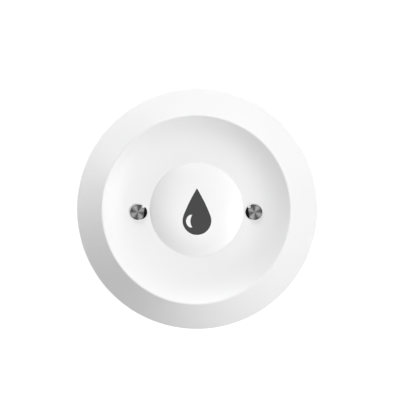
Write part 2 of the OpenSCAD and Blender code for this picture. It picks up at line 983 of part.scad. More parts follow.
module base_cuts() {
    translate([0, 0, -over])
        linear_extrude(ledge_z + over)
            rounded_rect(recess_x, recess_y, door_corner_r + door_gap);
    linear_extrude(ceiling_z)
        rounded_rect(bay_x, bay_y, door_corner_r / 2);
    for (side = [-1, 1]) {
        translate([side * tongue_x - tongue_w / 2 - door_gap, -recess_y - tongue_reach, tongue_z - door_gap])
            cube([tongue_w + 2 * door_gap, tongue_reach + over, ledge_z - tongue_z + door_gap]);
        translate([0, 0, ceiling_z - over])
            linear_extrude(ceiling_t + 2 * over)
                terminal_slot(side, hole_gap);
        at_floor_probe(side) {
            cylinder(r = floor_shank_d / 2 + hole_gap, h = body_h);
            cylinder(r = floor_shank_d / 2 + floor_seal_d + hole_gap, h = under_z + floor_seal_d);
        }
    }
    at_case_screws() {
        cylinder(r = case_head_r + 2 * hole_gap, h = case_head_z + case_head_h);
        cylinder(r = case_screw_d / 2 + hole_gap, h = body_h);
    }
    translate([0, siren_y, 0]) {
        cylinder(r = sound_hole_d / 2, h = floor_z + over);
        for (turn = [0:60:300])
            rotate(turn)
                translate([sound_ring_r, 0, 0])
                    cylinder(r = sound_hole_d / 2, h = floor_z + over);
    }
    for (turn = [0:90:270])
        rotate(turn)
            translate([foot_r, 0, 0])
                cylinder(r = foot_d / 2 + hole_gap, h = under_z + foot_seat);
    groove_h = case_seal_d + 2 * case_seal_play;
    rotate_extrude()
        translate([seal_mid_r - case_seal_d / 2 - case_seal_play, seal_mid_z - groove_h / 2])
            square([2 * case_seal_d, groove_h]);
}

module base_shell() {
    color("white")
        difference() {
            base_solids();
            base_cuts();
        }
}

module case_seal() {
    color("black")
        rotate_extrude()
            translate([seal_mid_r, seal_mid_z])
                circle(case_seal_d / 2);
}

module case_screws() {
    color("silver")
        at_case_screws()
            translate([0, 0, case_head_z + case_head_h])
                screw(case_screw_d, case_screw_l, case_head_r, case_head_h);
}

// Battery door

module battery_door() {
    color("white")
        difference() {
            union() {
                translate([0, 0, under_z])
                    linear_extrude(door_t)
                        rounded_rect(door_x, door_y, door_corner_r);
                for (side = [-1, 1])
                    translate([side * tongue_x - tongue_w / 2, -door_y - tongue_reach + door_gap, tongue_z])
                        cube([tongue_w, tongue_reach + over, tongue_t]);
            }
            translate([-scoop_l / 2, door_y - scoop_inset, under_z + scoop_depth - scoop_r])
                rotate([0, 90, 0])
                    cylinder(r = scoop_r, h = scoop_l);
        }
}

module door_gasket() {
    out = gasket_inset;
    in = gasket_inset + gasket_w;
    color("black")
        translate([0, 0, door_top_z])
            linear_extrude(gasket_t)
                difference() {
                    rounded_rect(door_x - out, door_y - out, door_corner_r - out);
                    rounded_rect(door_x - in, door_y - in, door_corner_r / 2);
                }
}

// Cells and contacts

// A cell lies along X. Side 1 has its nub at +X, and side -1 is turned round
module cell(side) {
    body_l = cell_l - nub_l;
    translate([0, side * cell_y, cell_z])
        mirror([side < 0 ? 1 : 0, 0, 0])
            translate([cell_shift - cell_l / 2, 0, 0])
                rotate([0, 90, 0]) {
                    cylinder(r = cell_d / 2, h = body_l);
                    cylinder(r = nub_d / 2, h = cell_l);
                }
}

module upper_cell() {
    color("goldenrod")
        cell(1);
}

module lower_cell() {
    color("goldenrod")
        cell(-1);
}

module cell_springs() {
    length = contact_room - contact_t + cell_shift;
    color("silver") {
        translate([-plate_x, cell_y, cell_z])
            rotate([0, 90, 0])
                spring(cell_spring_r, cell_spring_tip_r, length, cell_spring_turns, cell_wire);
        translate([plate_x, -cell_y, cell_z])
            rotate([0, -90, 0])
                spring(cell_spring_r, cell_spring_tip_r, length, cell_spring_turns, cell_wire);
    }
}

// The bump that meets a cell's nub
module contact_bump() {
    reach = contact_room - contact_t - cell_shift - seat_gap;
    cylinder(r1 = nub_d / 2 + bump_foot, r2 = nub_d / 2 - bump_tip, h = reach);
}

module bridge_contact() {
    color("silver") {
        translate([-bay_x, -cell_y - plate_half, cell_z - plate_half])
            cube([contact_t, 2 * (cell_y + plate_half), 2 * plate_half]);
        translate([-plate_x, -cell_y, cell_z])
            rotate([0, 90, 0])
                contact_bump();
    }
}

module terminal(side) {
    translate([plate_x, side * cell_y - plate_half, cell_z - plate_half])
        cube([contact_t, 2 * plate_half, 2 * plate_half]);
    translate([0, 0, cell_z])
        linear_extrude(board_top_z - cell_z)
            terminal_slot(side, 0);
}

module positive_terminal() {
    color("silver") {
        terminal(1);
        translate([plate_x, cell_y, cell_z])
            rotate([0, -90, 0])
                contact_bump();
    }
}

module negative_terminal() {
    color("silver")
        terminal(-1);
}

// Floor probes

module floor_probe(side) {
    color("silver")
        at_floor_probe(side) {
            translate([0, 0, under_z - floor_head_h])
                cylinder(r1 = floor_head_d / 2 - floor_head_chamfer, r2 = floor_head_d / 2, h = floor_head_h);
            translate([0, 0, under_z - floor_head_h / 2])
                cylinder(r = floor_shank_d / 2, h = floor_nut_z + thread_end - under_z + floor_head_h / 2);
        }
}

module floor_seal(side) {
    color("black")
        at_floor_probe(side)
            translate([0, 0, under_z + floor_seal_d / 2])
                rotate_extrude()
                    translate([floor_shank_d / 2 + floor_seal_d / 2 + hole_gap / 2, 0])
                        circle(floor_seal_d / 2 - seat_gap);
}

module floor_probe_nuts() {
    color("silver")
        for (side = [-1, 1])
            at_floor_probe(side)
                translate([0, 0, floor_boss_z])
                    nut(floor_shank_d);
}

module probe_springs() {
    color("gold")
        for (side = [-1, 1])
            at_floor_probe(side)
                translate([0, 0, floor_nut_z])
                    spring(spring_r, spring_r, board_z - floor_nut_z, probe_spring_turns, probe_wire);
}

// Feet

module foot(turn) {
    color("dimgray")
        rotate(turn)
            translate([foot_r, 0, 0]) {
                cylinder(r1 = foot_d / 2 - foot_chamfer, r2 = foot_d / 2, h = foot_chamfer);
                translate([0, 0, foot_chamfer])
                    cylinder(r = foot_d / 2, h = under_z + foot_seat - foot_chamfer);
            }
}

top_shell();
button_cap();
drop_mark();
button_boot();
boot_retainer();
retainer_screws();
drip_probe(-1);  // left_drip_probe
drip_probe(1);  // right_drip_probe
probe_seal(-1);  // left_probe_seal
probe_seal(1);  // right_probe_seal
probe_nuts();
circuit_board();
board_screws();
radio_module();
controller_chip();
tact_switch();
switch_plunger();
status_light();
siren();
sound_vent();
base_shell();
case_seal();
case_screws();
battery_door();
door_gasket();
upper_cell();
lower_cell();
cell_springs();
bridge_contact();
positive_terminal();
negative_terminal();
floor_probe(-1);  // left_floor_probe
floor_probe(1);  // right_floor_probe
floor_seal(-1);  // left_floor_seal
floor_seal(1);  // right_floor_seal
floor_probe_nuts();
probe_springs();
foot(180);  // left_foot
foot(0);  // right_foot
foot(270);  // front_foot
foot(90);  // rear_foot
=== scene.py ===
"""The looks of a round water leak sensor: a white puck with a drip dish, a domed button and metal probes."""
import math

import bmesh
import bpy
from mathutils import Matrix, Vector
from mathutils.bvhtree import BVHTree


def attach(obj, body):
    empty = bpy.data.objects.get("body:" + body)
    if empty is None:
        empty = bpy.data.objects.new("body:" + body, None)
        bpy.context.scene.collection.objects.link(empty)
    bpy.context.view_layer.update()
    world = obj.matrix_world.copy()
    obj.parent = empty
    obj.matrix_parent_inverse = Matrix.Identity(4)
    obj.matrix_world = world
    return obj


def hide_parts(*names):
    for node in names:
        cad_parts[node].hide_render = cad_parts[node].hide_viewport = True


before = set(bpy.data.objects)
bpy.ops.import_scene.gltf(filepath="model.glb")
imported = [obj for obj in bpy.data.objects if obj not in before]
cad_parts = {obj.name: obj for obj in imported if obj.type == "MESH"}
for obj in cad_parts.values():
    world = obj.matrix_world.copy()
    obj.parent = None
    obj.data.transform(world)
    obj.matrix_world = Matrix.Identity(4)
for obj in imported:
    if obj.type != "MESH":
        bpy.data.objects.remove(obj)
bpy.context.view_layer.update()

# Base shell
# The lower half of the case: a white moulding with a lip that plugs into the top shell, and the battery
# bay standing on its floor. Four screws from below hold it, and each hole has a broken edge.
MM = 0.001


def spun(outline, steps=192):
    """Turns an outline of (radius, height) corners, in millimetres, once round Z.
    A corner may add the setback of its round edge and the number of steps in it."""
    bm = bmesh.new()
    corners = [bm.verts.new((c[0] * MM, 0, c[1] * MM)) for c in outline]
    ends = corners[1:] if outline[0][0] == outline[-1][0] == 0 else corners[1:] + corners[:1]
    for a, b in zip(corners, ends):
        bm.edges.new((a, b))
    for corner, values in zip(corners, outline):
        if len(values) > 2:
            bmesh.ops.bevel(
                bm, geom=[corner], offset=values[2] * MM, offset_type="OFFSET", affect="VERTICES",
                segments=values[3] if len(values) > 3 else 4, profile=0.5, material=-1, clamp_overlap=False)
    bmesh.ops.spin(
        bm, geom=bm.verts[:] + bm.edges[:], cent=(0, 0, 0), axis=(0, 0, 1), dvec=(0, 0, 0),
        angle=2 * math.pi, steps=steps, use_merge=True)
    bmesh.ops.remove_doubles(bm, verts=bm.verts, dist=1e-8)
    bmesh.ops.recalc_face_normals(bm, faces=bm.faces)
    return bm


def block(half_x, half_y, low_z, high_z, corner=0.0, flare=0.0):
    """A block with upright round corners, in millimetres. A flare widens its lower end."""
    bm = bmesh.new()
    bmesh.ops.create_cube(bm, size=2)
    bmesh.ops.scale(bm, verts=bm.verts, vec=(half_x * MM, half_y * MM, (high_z - low_z) / 2 * MM))
    bmesh.ops.translate(bm, verts=bm.verts, vec=(0, 0, (high_z + low_z) / 2 * MM))
    if corner:
        upright = [e for e in bm.edges if abs(e.verts[0].co.z - e.verts[1].co.z) > 1e-6]
        bmesh.ops.bevel(
            bm, geom=upright, offset=corner * MM, offset_type="OFFSET", affect="EDGES", segments=8,
            profile=0.5, material=-1)
    if flare:
        low = [v for v in bm.verts if v.co.z < (low_z + high_z) / 2 * MM]
        bmesh.ops.scale(bm, verts=low, vec=(1 + flare / half_x, 1 + flare / half_y, 1))
    return bm


def moved(bm, x=0.0, y=0.0, z=0.0, turn=0.0):
    """Shifts a mesh by millimetres and then turns it round Z by degrees."""
    bmesh.ops.translate(bm, verts=bm.verts, vec=(x * MM, y * MM, z * MM))
    bmesh.ops.rotate(bm, verts=bm.verts, cent=(0, 0, 0), matrix=Matrix.Rotation(math.radians(turn), 3, "Z"))
    return bm


def as_mesh(name, *parts):
    """One mesh from several, which are used up."""
    whole = bmesh.new()
    for part in parts:
        loose = bpy.data.meshes.new(name)
        part.to_mesh(loose)
        part.free()
        whole.from_mesh(loose)
        bpy.data.meshes.remove(loose)
    mesh = bpy.data.meshes.new(name)
    whole.to_mesh(mesh)
    whole.free()
    return mesh


def carved(body, cutters, operation="DIFFERENCE"):
    """Cuts the cutters out of a body, or joins them to it."""
    pair = [bpy.data.objects.new(n, as_mesh(n, *p)) for n, p in (("body", [body]), ("cutter", cutters))]
    for obj in pair:
        bpy.context.scene.collection.objects.link(obj)
    cut = pair[0].modifiers.new("cut", "BOOLEAN")
    cut.operation, cut.object, cut.solver, cut.use_self = operation, pair[1], "EXACT", True
    done = pair[0].evaluated_get(bpy.context.evaluated_depsgraph_get()).to_mesh()
    bm = bmesh.new()
    bm.from_mesh(done)
    for obj in pair:
        mesh = obj.data
        bpy.data.objects.remove(obj)
        bpy.data.meshes.remove(mesh)
    return bm


def piece(name, parts, skins, body, slot, *nodes, sharp=35):
    """Makes an object of meshes, with its finishes and body, and hides the nodes that it stands for. Its
    slot is not used.
    """
    mesh = as_mesh(name, *parts)
    for skin in skins:
        mesh.materials.append(skin)
    mesh.shade_smooth()
    mesh.set_sharp_from_angle(angle=math.radians(sharp))
    obj = bpy.data.objects.new(name, mesh)
    bpy.context.scene.collection.objects.link(obj)
    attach(obj, body)
    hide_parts(*nodes)


class Socket:
    """An output in a node tree that takes part in Python sums."""

    def __init__(self, tree, output=None):
        self.tree, self.output = tree, output

    def node(self, kind, settings, inputs, output=0):
        """Adds a node: its settings first, then the values or links of its sockets."""
        made = self.tree.nodes.new(kind)
        for name, value in settings.items():
            setattr(made, name, value)
        for name, value in inputs.items():
            self.feed(made.inputs[name], value)
        return Socket(self.tree, made.outputs[output])

    def feed(self, socket, value):
        """Links a socket to an output, or sets it to a value."""
        if isinstance(value, Socket):
            self.tree.links.new(value.output, socket)
        else:
            socket.default_value = value

    def math(self, operation, a, b):
        """The result of a Math node on two values or links."""
        return self.node("ShaderNodeMath", {"operation": operation}, {0: a, 1: b})

    def __add__(self, other):
        return self.math("ADD", self, other)

    __radd__ = __add__

    def __sub__(self, other):
        return self.math("SUBTRACT", self, other)

    def __rsub__(self, other):
        return self.math("SUBTRACT", other, self)

    def __mul__(self, other):
        return self.math("MULTIPLY", self, other)

    __rmul__ = __mul__

    def __pow__(self, other):
        return self.math("POWER", self, other)

    def noise(self, scale, detail=2.0):
        """Noise from 0 to 1 with so many patches in a metre, on this place."""
        return self.node("ShaderNodeTexNoise", {}, {"Vector": self, "Scale": scale, "Detail": detail})

    def blend(self, low, high):
        """A colour between two, by this value."""
        return self.node(
            "ShaderNodeMix", {"data_type": "RGBA"}, {0: self, 6: (*low, 1), 7: (*high, 1)}, 2)


def finish(name, colour, **constants):
    """A new material with its shader and the object's own coordinates."""
    skin = bpy.data.materials.new(name)
    skin.use_nodes = True
    skin.diffuse_color = (*colour, 1)
    shader = skin.node_tree.nodes["Principled BSDF"]
    shader.inputs["Base Color"].default_value = (*colour, 1)
    for socket, value in constants.items():
        shader.inputs[socket.replace("_", " ")].default_value = value
    return skin, shader, Socket(skin.node_tree).node("ShaderNodeTexCoord", {}, {}, "Object")


def drifted(colour, share):
    """A colour made darker by a share of it, and made lighter by as much."""
    return tuple(c * (1 - share) for c in colour), tuple(c * (1 + share) for c in colour)


def moulded(name, colour, grain, depth, roughness, drift=0.012):
    """White moulded plastic: a fine eroded grain, soft drifts of tone, and gloss that follows both."""
    skin, shader, place = finish(name, colour)
    fine = place.noise(grain, 3.0)
    broad = place.noise(70.0, 2.0)
    tone = broad * 0.7 + fine * 0.3
    place.feed(shader.inputs["Base Color"], tone.blend(*drifted(colour, drift)))
    place.feed(shader.inputs["Roughness"], fine * 0.16 + (broad * 0.06 + (roughness - 0.11)))
    place.feed(shader.inputs["Normal"], place.node(
        "ShaderNodeBump", {}, {"Strength": 0.35, "Distance": depth * MM, "Height": fine}))
    return skin


base_plastic = moulded("base_plastic", (0.84, 0.84, 0.84), 3200.0, 0.02, 0.5)
UNDER_Z, FLOOR_Z, SEAM_Z = 1.2, 3.0, 5.7
BASE_R, LIP_R, LIP_IN_R, LIP_Z = 36, 33.123, 31.123, 8.6
GROOVE_R, GROOVE_LOW, GROOVE_HIGH = 32.173, 6.75, 7.85
BLOCK_X, BLOCK_Y, BLOCK_CORNER = 28.0, 13.7, 3.4
BAY_X, BAY_Y, BAY_CORNER = 25.2, 10.9, 1.0
BAY_TOP_Z, CEILING_Z, LEDGE_Z = 15.05, 14.25, 3.35
RECESS_X, RECESS_Y, RECESS_CORNER = 26.6, 12.3, 2.25
TONGUE_X, TONGUE_ROOM_Y = 13.175, -12.1
PILLAR_R, PILLAR_Z, ROOT_Z = 3.0, 10.0, 2.1
CUT_Z = 0.2
SCREW_REACH, SCREW_TURNS = 30.07, (45, 135, 225, 315)
FOOT_REACH, FOOT_TURNS = 31.2, {"right": 0, "rear": 90, "left": 180, "front": 270}
SIREN_Y, SOUND_RING, SOUND_HOLE_R, SOUND_HOLE_TOP = 20.2, 3.2, 0.8, 3.5
tray = spun([
    (0, UNDER_Z), (35.2, UNDER_Z, 0.2), (BASE_R, 2.0, 0.25), (35.774, SEAM_Z, 0.15), (LIP_R, SEAM_Z),
    (LIP_R, GROOVE_LOW), (GROOVE_R, GROOVE_LOW), (GROOVE_R, GROOVE_HIGH), (LIP_R, GROOVE_HIGH),
    (LIP_R, LIP_Z, 0.2), (LIP_IN_R, LIP_Z), (LIP_IN_R, FLOOR_Z), (0, FLOOR_Z)])
bay_block = block(BLOCK_X, BLOCK_Y, ROOT_Z, BAY_TOP_Z, BLOCK_CORNER)
pillar = [(0, ROOT_Z), (PILLAR_R, ROOT_Z), (PILLAR_R, PILLAR_Z), (0, PILLAR_Z)]
pillars = [moved(spun(pillar, 48), SCREW_REACH, turn=t) for t in SCREW_TURNS]
tray = carved(tray, [bay_block, *pillars], "UNION")


def mouth(radius, top, edge, bore=None, bore_top=None):
    """A round cutter that widens at the underside, with an optional narrower bore above it."""
    wide = radius + edge
    below = [(0, CUT_Z), (wide, CUT_Z), (wide, UNDER_Z), (radius, UNDER_Z + edge), (radius, top)]
    above = [(bore, top), (bore, bore_top), (0, bore_top)] if bore else [(0, top)]
    return spun(below + above, 64)


def sound_hole():
    """One hole of the siren's outlet."""
    return mouth(SOUND_HOLE_R, SOUND_HOLE_TOP, edge=0.15)


cutters = [
    block(RECESS_X, RECESS_Y, CUT_Z, LEDGE_Z, RECESS_CORNER),
    block(BAY_X, BAY_Y, 1.0, CEILING_Z, BAY_CORNER),
    block(RECESS_X, RECESS_Y, 0.9, 1.45, RECESS_CORNER, flare=0.3),
    *[moved(block(4.25, 1.2, 1.55, LEDGE_Z), s * TONGUE_X, TONGUE_ROOM_Y) for s in (-1, 1)],
    *[moved(mouth(2.45, 5.0, edge=0.25, bore=1.35, bore_top=12.0), SCREW_REACH, turn=t)
      for t in SCREW_TURNS],
    *[moved(mouth(3.3, 1.7, edge=0.15), FOOT_REACH, turn=t) for t in FOOT_TURNS.values()],
    moved(sound_hole(), 0, SIREN_Y),
    *[moved(moved(sound_hole(), SOUND_RING, turn=t), 0, SIREN_Y) for t in range(0, 360, 60)],
]
piece("base", [carved(tray, cutters)], [base_plastic], "case", "base_plastic", "base_shell")

# Battery bay
# Two alkaline cells in plain shrink wrap lie side by side, head to tail, between nickel plated contacts.
# Conical springs press them, and stamped plates join them and carry the current up to the board.
CELL_R, CELL_BODY, CELL_L = 5.25, 43.5, 44.5
NUB_R, BARE_R = 1.9, 4.52
CELL_Y, CELL_Z, CELL_START = 5.35, 8.8, -21.15
PLATE_X = 24.8


def metal(name, colour, roughness, streak, spread=0.06):
    """Bare or plated metal: fine scratches and cloudy gloss."""
    skin, shader, place = finish(name, colour, Metallic=1.0)
    fine = place.noise(streak, 3.0)
    cloud = place.noise(400.0, 2.0)
    tone = fine * 0.6 + cloud * 0.4
    place.feed(shader.inputs["Base Color"], tone.blend(*drifted(colour, spread)))
    place.feed(shader.inputs["Roughness"], tone * 0.2 + (roughness - 0.1))
    place.feed(shader.inputs["Normal"], place.node(
        "ShaderNodeBump", {}, {"Strength": 0.15, "Distance": 0.01 * MM, "Height": fine}))
    return skin


contact_metal = metal("contact_metal", (0.72, 0.7, 0.62), 0.3, 5000.0)
cell_metal = metal("cell_metal", (0.68, 0.68, 0.66), 0.32, 6000.0)

wrap_colour, band_colour = (0.1, 0.1, 0.11), (0.34, 0.35, 0.37)
BAND_X = 12.0
cell_wrap, shader, place = finish("cell_wrap", wrap_colour, Coat_Weight=0.5, Coat_Roughness=0.12)
along = place.node("ShaderNodeSeparateXYZ", {}, {0: place}, 0)
near_head = place.node("ShaderNodeMath", {"operation": "GREATER_THAN"}, {0: along, 1: BAND_X * MM})
film = place.noise(900.0, 3.0)
place.feed(shader.inputs["Base Color"], (near_head * (film * 0.2 + 0.8)).blend(wrap_colour, band_colour))
place.feed(shader.inputs["Roughness"], film * 0.15 + 0.28)
place.feed(shader.inputs["Normal"], place.node(
    "ShaderNodeBump", {}, {"Strength": 0.2, "Distance": 0.03 * MM, "Height": film}))


def cell(name, side, node):
    """A cell along X. The upper one has its nub to the right, and the lower one is turned round."""
    bm = spun([
        (0, 0.15), (3.6, 0.15, 0.1), (3.8, 0.0, 0.1), (4.5, 0.0, 0.1), (4.55, 0.35, 0.1),
        (CELL_R, 0.35, 0.4), (CELL_R, CELL_BODY - 0.2, 0.45), (4.4, CELL_BODY - 0.2, 0.1),
        (4.2, CELL_BODY - 0.35, 0.1), (NUB_R, CELL_BODY - 0.3, 0.25), (NUB_R, CELL_L, 0.25),
        (0, CELL_L)], 96)
    for face in bm.faces:
        face.material_index = int(face.calc_center_median().xy.length < BARE_R * MM)
    bmesh.ops.translate(bm, verts=bm.verts, vec=(0, 0, CELL_START * MM))
    bmesh.ops.rotate(bm, verts=bm.verts, cent=(0, 0, 0), matrix=Matrix.Rotation(math.pi / 2, 3, "Y"))
    if side < 0:
        bmesh.ops.rotate(bm, verts=bm.verts, cent=(0, 0, 0), matrix=Matrix.Rotation(math.pi, 3, "Z"))
    piece(name, [moved(bm, 0, side * CELL_Y, CELL_Z)], [cell_wrap, cell_metal], "case", "cell_wrap", node)


cell("wrapped_upper_cell", 1, "upper_cell")
cell("wrapped_lower_cell", -1, "lower_cell")


def coil(foot_r, tip_r, length, turns, wire):
    """A helical spring standing on z = 0, which may narrow towards its tip."""
    bm = bmesh.new()
    bmesh.ops.create_circle(bm, cap_ends=False, segments=10, radius=wire / 2 * MM)
    bmesh.ops.rotate(bm, verts=bm.verts, cent=(0, 0, 0), matrix=Matrix.Rotation(math.pi / 2, 3, "X"))
    bmesh.ops.translate(bm, verts=bm.verts, vec=(foot_r * MM, 0, wire / 2 * MM))
    steps = 28 * turns
    bmesh.ops.spin(
        bm, geom=bm.verts[:] + bm.edges[:], cent=(0, 0, 0), axis=(0, 0, 1), angle=turns * 2 * math.pi,
        steps=steps, dvec=(0, 0, (length - wire) / steps * MM), use_merge=False)
    bmesh.ops.holes_fill(bm, edges=[e for e in bm.edges if e.is_boundary], sides=0)
    for v in bm.verts:
        v.co.xy *= 1 - v.co.z / (length * MM) * (foot_r - tip_r) / foot_r
    bmesh.ops.recalc_face_normals(bm, faces=bm.faces)
    return bm


def cell_spring(side):
    """The conical spring at the flat end of a cell."""
    bm = coil(foot_r=3.0, tip_r=2.0, length=3.65, turns=3, wire=0.5)
    bmesh.ops.rotate(bm, verts=bm.verts, cent=(0, 0, 0), matrix=Matrix.Rotation(side * math.pi / 2, 3, "Y"))
    return moved(bm, -side * PLATE_X, side * CELL_Y, CELL_Z)


piece("wound_cell_springs", [cell_spring(1), cell_spring(-1)], [contact_metal],
      "case", "contact_metal", "cell_springs")


def carried(skin, *nodes):
    """Gives a finish to CAD nodes that stay as they are."""
    for node in nodes:
        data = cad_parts[node].data
        data.materials.clear()
        data.materials.append(skin)


carried(contact_metal, "bridge_contact", "positive_terminal", "negative_terminal")

# Floor probes
# Two turned stainless pins stand a little out of the underside and touch the water on the floor. A ring
# seal lies under each head, a nut holds it inside, and a spring takes the signal up to the board.
FLOOR_PROBE_X, FLOOR_PROBE_Y = 11.0, -20.5
TIP_Z, PIN_HEAD_R, PIN_R, PIN_TOP = 0.5, 2.5, 1.15, 7.4
SPRING_Z = 6.6


def grooved(inner, outer, height, depth, count):
    """Corners of a turned face: rings of tool marks, whose lands lie at that height."""
    pitch = (outer - inner) / count
    return [c for i in range(count) for c in
            ((inner + pitch * i, height), (inner + pitch * (i + 0.5), height + depth))]


def turned(name, x, y, side):
    """Turned stainless steel with painted reflections: painted fans of light and dark, one diagonal painted
    lighter, a painted dark rim, random smears and fine rings of tool marks.
    """
    # Painted reflection: the dark and light tones are the levels of the painted fans, far darker than bare
    # steel.
    dark, light = 0.033, 0.155
    painted_fan_turn, painted_slant_turn, ring_scale = math.radians(300), math.radians(250), 42000.0
    skin, shader, place = finish(name, (0.3, 0.3, 0.3), Metallic=1.0)
    local = place.node("ShaderNodeMapping", {}, {"Vector": place, "Location": (-x * MM, -y * MM, 0)})
    across = local.node("ShaderNodeSeparateXYZ", {}, {0: local}, 0) * float(-side)
    up = local.node("ShaderNodeSeparateXYZ", {}, {0: local}, 1)
    angle = local.math("ARCTAN2", up, across)
    # Painted reflection: four bright and four dark fans round the face, and one diagonal painted lighter
    # than the other.
    painted_fans = local.math("COSINE", angle * 4.0 - painted_fan_turn, 0)
    painted_slant = local.math("COSINE", angle * 2.0 - painted_slant_turn, 0)
    reach = (across * across + up * up) ** 0.5
    rings = local.math("SINE", reach * ring_scale, 0)
    smear = place.noise(2500.0, 3.0)
    # Painted shade: the face gets darker towards its rim.
    edge = local.node("ShaderNodeMapRange", {"interpolation_type": "SMOOTHSTEP"},
                      {"Value": reach, "From Min": 1.5 * MM, "From Max": 2.3 * MM})
    # The colour mixes the painted fans, the painted diagonal and the painted dark rim with the steel's own
    # rings and random smears.
    tone = 0.5 - 0.46 * painted_fans + 0.06 * painted_slant + 0.05 * rings + 0.3 * (smear - 0.5) - 0.22 * edge
    tone = local.node("ShaderNodeClamp", {}, {0: tone, 1: 0.0, 2: 1.0})
    place.feed(shader.inputs["Base Color"], tone.blend((dark,) * 3, (light,) * 3))
    place.feed(shader.inputs["Roughness"], smear * 0.15 + 0.28)
    place.feed(shader.inputs["Normal"], place.node(
        "ShaderNodeBump", {}, {"Strength": 0.2, "Distance": 0.005 * MM, "Height": rings}))
    return skin


for side, word in ((-1, "left"), (1, "right")):
    pin = spun([
        (0, TIP_Z), *grooved(0.15, 1.9, TIP_Z, 0.01, 12), (2.1, TIP_Z, 0.06), (PIN_HEAD_R, 1.15, 0.06),
        (PIN_HEAD_R, UNDER_Z), (PIN_R, UNDER_Z), (PIN_R, PIN_TOP, 0.15), (0, PIN_TOP)], 96)
    piece(f"{word}_floor_pin", [moved(pin, side * FLOOR_PROBE_X, FLOOR_PROBE_Y)],
          [turned(f"{word}_floor_steel", side * FLOOR_PROBE_X, FLOOR_PROBE_Y, side)],
          "case", "probe_steel", f"{word}_floor_probe")
piece("wound_probe_springs",
      [moved(coil(foot_r=1.6, tip_r=1.6, length=9.45, turns=7, wire=0.4),
             s * FLOOR_PROBE_X, FLOOR_PROBE_Y, SPRING_Z) for s in (-1, 1)],
      [contact_metal], "case", "contact_metal", "probe_springs")


def rubber(name, colour, grain, roughness, shine=0.4):
    """Matt rubber: a fine grain mixed with soft patches of pale bloom."""
    skin, shader, place = finish(name, colour, Specular_IOR_Level=shine)
    fine = place.noise(grain, 4.0)
    bloom = place.noise(350.0, 2.0)
    place.feed(shader.inputs["Base Color"], (fine * 0.5 + bloom * 0.5).blend(*drifted(colour, 0.3)))
    place.feed(shader.inputs["Roughness"], bloom * 0.2 + (roughness - 0.1))
    place.feed(shader.inputs["Normal"], place.node(
        "ShaderNodeBump", {}, {"Strength": 0.4, "Distance": 0.02 * MM, "Height": fine}))
    return skin


black_rubber = rubber("black_rubber", (0.004, 0.004, 0.004), 4000.0, 0.8, 0.1)
carried(black_rubber, "left_floor_seal", "right_floor_seal", "case_seal", "door_gasket")

# Board and its parts
# A round green board hangs on the nuts of the drip probes and two screws. It carries the switch, the
# status light, the controller and the radio under a tinned can, and the siren below.


def speckled(name, low, high, grain, roughness, metallic=0.0):
    """A plain part inside the case: two tones of grain."""
    skin, shader, place = finish(name, high, Metallic=metallic)
    fine = place.noise(grain, 4.0)
    place.feed(shader.inputs["Base Color"], fine.blend(low, high))
    place.feed(shader.inputs["Roughness"], fine * 0.2 + (roughness - 0.1))
    place.feed(shader.inputs["Normal"], place.node(
        "ShaderNodeBump", {}, {"Strength": 0.3, "Distance": 0.015 * MM, "Height": fine}))
    return skin


carried(speckled("board_laminate", (0.02, 0.16, 0.06), (0.05, 0.26, 0.11), 1500.0, 0.35), "circuit_board")
carried(speckled("shield_can", (0.6, 0.6, 0.58), (0.76, 0.76, 0.74), 3000.0, 0.3, 1.0), "radio_module")
carried(speckled("black_moulding", (0.014, 0.014, 0.014), (0.03, 0.03, 0.03), 4000.0, 0.5),
        "controller_chip", "tact_switch", "switch_plunger", "siren")
carried(speckled("light_lens", (0.8, 0.74, 0.42), (0.9, 0.86, 0.58), 2000.0, 0.15), "status_light")
carried(speckled("vent_film", (0.7, 0.7, 0.7), (0.86, 0.86, 0.86), 9000.0, 0.9), "sound_vent")
carried(speckled("nylon", (0.76, 0.75, 0.69), (0.84, 0.83, 0.78), 1200.0, 0.5), "boot_retainer")
screw_steel = metal("screw_steel", (0.6, 0.6, 0.6), 0.3, 6000.0)
carried(screw_steel, "probe_nuts", "board_screws", "retainer_screws", "floor_probe_nuts")

# Top shell
# The upper half of the case in one white moulding: side wall, sloping flank, thin rim and concave drip
# dish with the recess of the button in its middle. A small key beside each probe stops it from turning.
white_plastic = moulded("white_plastic", (0.86, 0.86, 0.86), 4200.0, 0.012, 0.42)
SHELL_Z, SHOULDER_Z, DISH_Z, RIM_Z = 6.0, 17.15, 23.55, 27.15
RIM_R, WELL_R, WALL_IN_R = 26.95, 13.575, 33.273
WELL_Z, COLLAR_Z, COLLAR_R, BORE_R = 21.85, 20.85, 15.075, 8.3
BOWL_STEPS, BOWL_POWER = 48, 2.7
PROBE_X, PROBE_Y = {-1: -16.98, 1: 16.8}, -0.75
KEY_X, KEY_Y, KEY_R, KEY_LOW, KEY_HIGH = 1.54, 1.63, 0.45, 23.3, 23.85
bowl = [(RIM_R + (WELL_R - RIM_R) * i / BOWL_STEPS,
         DISH_Z + (RIM_Z - DISH_Z) * (1 - i / BOWL_STEPS) ** BOWL_POWER) for i in range(1, BOWL_STEPS + 1)]
shell = spun([
    (35.755, SHELL_Z, 0.15), (35.073, SHOULDER_Z, 0.5, 6), (27.35, RIM_Z, 0.14), (RIM_R, RIM_Z, 0.1),
    *bowl, (WELL_R, WELL_Z), (BORE_R, WELL_Z), (BORE_R, COLLAR_Z), (COLLAR_R, COLLAR_Z), (COLLAR_R, WELL_Z),
    (23.81, WELL_Z, 4.2, 12), (26.91, 24.77), (WALL_IN_R, 16.52), (WALL_IN_R, SHELL_Z)], 256)
key = [(0, KEY_LOW), (KEY_R, KEY_LOW), (KEY_R, KEY_HIGH, 0.08), (0, KEY_HIGH)]
keys = [moved(spun(key, 32), PROBE_X[s] - s * KEY_X, PROBE_Y + KEY_Y) for s in (-1, 1)]
piece("shell", [shell, *keys], [white_plastic], "case", "white_plastic", "top_shell")

